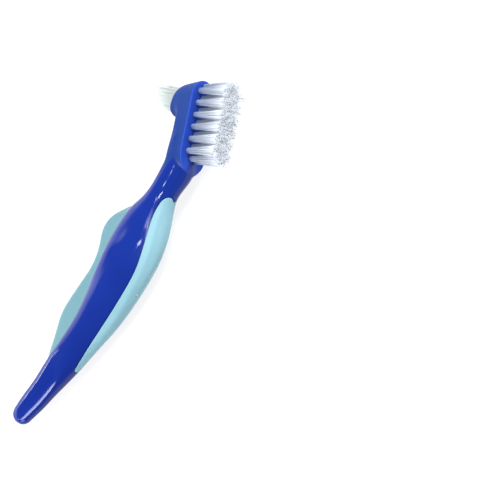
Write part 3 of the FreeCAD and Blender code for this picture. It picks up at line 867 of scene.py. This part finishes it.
ROWS = np.array([-0.08, 0.0, 0.12, 0.3, 0.5, 0.72, 0.9, 0.972, 0.976, 1.0])
LENGTH = 16.0
N_FIL = 66
axis = np.array([-math.sin(LEAN), -math.cos(LEAN), 0.0])
side_a = np.array([math.cos(LEAN), -math.sin(LEAN), 0.0])
side_b = np.array([0.0, 0.0, 1.0])
for tag, lx, off in TUFTS:
    d = disc(N_FIL, 1.14) + rng.normal(0, 0.03, (N_FIL, 2))
    d = d @ np.array([[math.cos(lx), math.sin(lx)], [-math.sin(lx), math.cos(lx)]])
    spread = 1.15 + rng.normal(0, 0.16, N_FIL)
    wander = rng.normal(0, 0.22, (N_FIL, 2))
    length = LENGTH * (1 + rng.normal(0, 0.013, N_FIL)) + rng.normal(0, 0.14)
    s = ROWS
    k = np.clip(s, 0, 1)
    flare = 0.85 * k ** 0.95 + 0.22 * k ** 2
    lateral = d[:, None] * (1 + flare[None, :, None] * spread[:, None, None]) + wander[:, None] * (k ** 1.6)[None, :, None]
    base = np.array([lx, 0.0, off])
    paths = base + (s[None, :, None] * length[:, None, None]) * axis + lateral[..., :1] * side_a + lateral[..., 1:] * side_b
    radii = np.full((N_FIL, len(ROWS)), 0.10)
    radii[:, -1] *= 0.8
    ob = filaments("tuft_" + tag, paths, radii, 5, np.clip(s, 0, 1), NYLON)
    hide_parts("main_tuft_" + tag)

# rear cluster: one wide bundle, its ends cut aslant
n = 260
d = disc(n, 5.35) + rng.normal(0, 0.06, (n, 2))
rear_axis = np.array([math.sin(rl), math.cos(rl), 0.0])
rear_a = np.array([math.cos(rl), -math.sin(rl), 0.0])
cutn = np.array([math.sin(math.radians(-30.0)), math.cos(math.radians(-30.0)), 0.0])
cut_at = np.array([HEAD_HALF, BOSS_END + 17.1 * 0.62 + 0.2, 0.0])
start = np.array([HEAD_HALF, BOSS_END - 5.0, 0.0]) + rear_axis * 3.2
rows = np.array([0.0, 0.15, 0.35, 0.6, 0.82, 1.0])
paths = []
for i in range(n):
    o = start + rear_a * d[i, 0] + np.array([0, 0, 1.0]) * d[i, 1]
    dirv = rear_axis + (rear_a * d[i, 0] + np.array([0, 0, 1.0]) * d[i, 1]) * (0.011 + rng.normal(0, 0.003)) + rng.normal(0, 0.012, 3)
    dirv /= np.linalg.norm(dirv)
    long = ((cut_at - o) @ cutn) / (dirv @ cutn) + rng.normal(0, 0.08)
    long = min(max(long, 2.5), 26.0)
    bend = rng.normal(0, 0.15, 3)
    paths.append(o + dirv * (rows * long)[:, None] + bend * (rows ** 2)[:, None])
paths = np.array(paths)
radii = np.full((n, len(rows)), 0.11)
radii[:, -1] *= 0.8
rear = filaments("rear_cluster", paths, radii, 5, rows, CLEAR)
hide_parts("rear_tuft")

# the metal anchors, hidden in their holes
steel = Mat("anchor_strip")
steel.link(steel.mix(steel.noise(800.0, 2.0), lin(196, 184, 150), lin(214, 204, 176)), steel.b.inputs["Base Color"])
steel.b.inputs["Metallic"].default_value = 1.0
steel.link(steel.range(steel.noise(1200.0, 3.0), 0.3, 0.7, 0.25, 0.4), steel.b.inputs["Roughness"])
for name in ("tuft_anchors", "rear_anchor"):
    ob = NODES[name]
    for s in ob.material_slots:
        s.material = steel.m
    if not ob.material_slots:
        ob.data.materials.append(steel.m)

# ---------------------------------------------------------------------------
# Floor, light and camera
# ---------------------------------------------------------------------------
floor_me = bpy.data.meshes.new("floor")
floor_me.from_pydata([(-6, -6, 0), (6, -6, 0), (6, 6, 0), (-6, 6, 0)], [], [(0, 1, 2, 3)])
floor = bpy.data.objects.new("floor", floor_me)
bpy.context.scene.collection.objects.link(floor)
fm = Mat("floor_white")
fm.link(fm.mix(fm.noise(3.0, 2.0), lin(124, 124, 124), lin(126, 126, 126)), fm.b.inputs["Base Color"])
fm.b.inputs["Roughness"].default_value = 0.7
fm.b.inputs["Specular IOR Level"].default_value = 0.2
fm.b.inputs["Emission Color"].default_value = (1, 1, 1, 1)
fm.b.inputs["Emission Strength"].default_value = 0.86
floor_me.materials.append(fm.m)

RIGHT = Vector((0.5675, -0.5761, -0.5882))
UP = Vector((0.8208, 0.4519, 0.3494))
RIGHT.normalize()
UP = (UP - RIGHT * UP.dot(RIGHT)).normalized()
TOWARD = RIGHT.cross(UP).normalized()


def area(name, direction, distance, size, power, size_y=None, lengthwise=(1, 0, 0), about=(0, 0, 0.01)):
    data = bpy.data.lights.new(name, "AREA")
    data.shape = "RECTANGLE" if size_y else "DISK"
    data.size = size
    if size_y:
        data.size_y = size_y
    data.energy = power
    ob = bpy.data.objects.new(name, data)
    bpy.context.scene.collection.objects.link(ob)
    d = Vector(direction).normalized()
    ob.location = Vector(about) + d * distance
    ob.visible_camera = False
    across = d.cross(Vector(lengthwise)).normalized()
    along = across.cross(d).normalized()
    ob.rotation_mode = "QUATERNION"
    ob.rotation_quaternion = Matrix((along, across, d)).transposed().to_quaternion()
    return ob


area("key_neck", (0.245, -0.145, 0.958), 1.3, 0.36, 2.4, 0.06, (0.13, 0.23, 0.0))
area("key_core", (0.285, 0.10, 0.952), 1.3, 0.30, 0.36, 0.02, (-0.07, 0.27, 0.0))
area("head_side", (1.0, 0.1, 0.85), 1.3, 0.7, 18.0)
area("tail_side", (-1.0, -0.1, 0.85), 1.3, 0.7, 18.0)
area("tail_rim", (-0.07, 0.90, 0.42), 0.08, 0.02, 0.011, 0.028, (1, 0, 0), ((SX + 12) / 1000, (SY - 8) / 1000, 0.0103))
area("neck_glint", (-0.22, -0.05, 0.97), 0.09, 0.007, 0.0036, 0.008, (0.2, 0.3, 0.0), ((SX + 128.2) / 1000, (SY + 1.0) / 1000, (RZ + 6.4) / 1000))

world = bpy.data.worlds.new("studio")
bpy.context.scene.world = world
world.use_nodes = True
sky = world.node_tree
back = sky.nodes["Background"]
where = sky.nodes.new("ShaderNodeTexCoord")
parts = sky.nodes.new("ShaderNodeSeparateXYZ")
sky.links.new(where.outputs["Generated"], parts.inputs[0])
fall = sky.nodes.new("ShaderNodeMapRange")
fall.interpolation_type = "SMOOTHSTEP"
for i, v in zip((1, 2, 3, 4), (0.40, 0.57, 1.25, 0.0)):
    fall.inputs[i].default_value = v
sky.links.new(parts.outputs[2], fall.inputs[0])
rear_side = sky.nodes.new("ShaderNodeMapRange")
rear_side.interpolation_type = "SMOOTHSTEP"
for i, v in zip((1, 2, 3, 4), (-0.25, 0.45, 0.12, 1.0)):
    rear_side.inputs[i].default_value = v
sky.links.new(parts.outputs[1], rear_side.inputs[0])
both = sky.nodes.new("ShaderNodeMath")
both.operation = "MULTIPLY"
sky.links.new(fall.outputs[0], both.inputs[0])
sky.links.new(rear_side.outputs[0], both.inputs[1])
total = sky.nodes.new("ShaderNodeMath")
total.operation = "ADD"
total.inputs[1].default_value = 0.20
sky.links.new(both.outputs[0], total.inputs[0])
back.inputs[0].default_value = (1, 1, 1, 1)
sky.links.new(total.outputs[0], back.inputs[1])

MM_PER_PX = 1 / 2.33
FRAME_MM = 500 * MM_PER_PX
tail = Vector((SX, SY, RZ)) / 1000.0
centre = tail + (RIGHT * (250 - 13.9) + UP * (418.5 - 250)) * (MM_PER_PX / 1000.0) + TOWARD * 0.004
DIST = 2.6
cam_data = bpy.data.cameras.new("camera")
cam_data.sensor_width = 36.0
cam_data.lens = 36.0 * DIST / (FRAME_MM / 1000.0)
cam_data.clip_start = 0.05
cam_data.clip_end = 50
cam = bpy.data.objects.new("camera", cam_data)
bpy.context.scene.collection.objects.link(cam)
cam.matrix_world = Matrix((
    (RIGHT.x, UP.x, TOWARD.x, 0), (RIGHT.y, UP.y, TOWARD.y, 0), (RIGHT.z, UP.z, TOWARD.z, 0), (0, 0, 0, 1)))
cam.location = centre + TOWARD * DIST
bpy.context.scene.camera = cam

bpy.context.scene.view_settings.view_transform = "Standard"
bpy.context.scene.view_settings.look = "None"
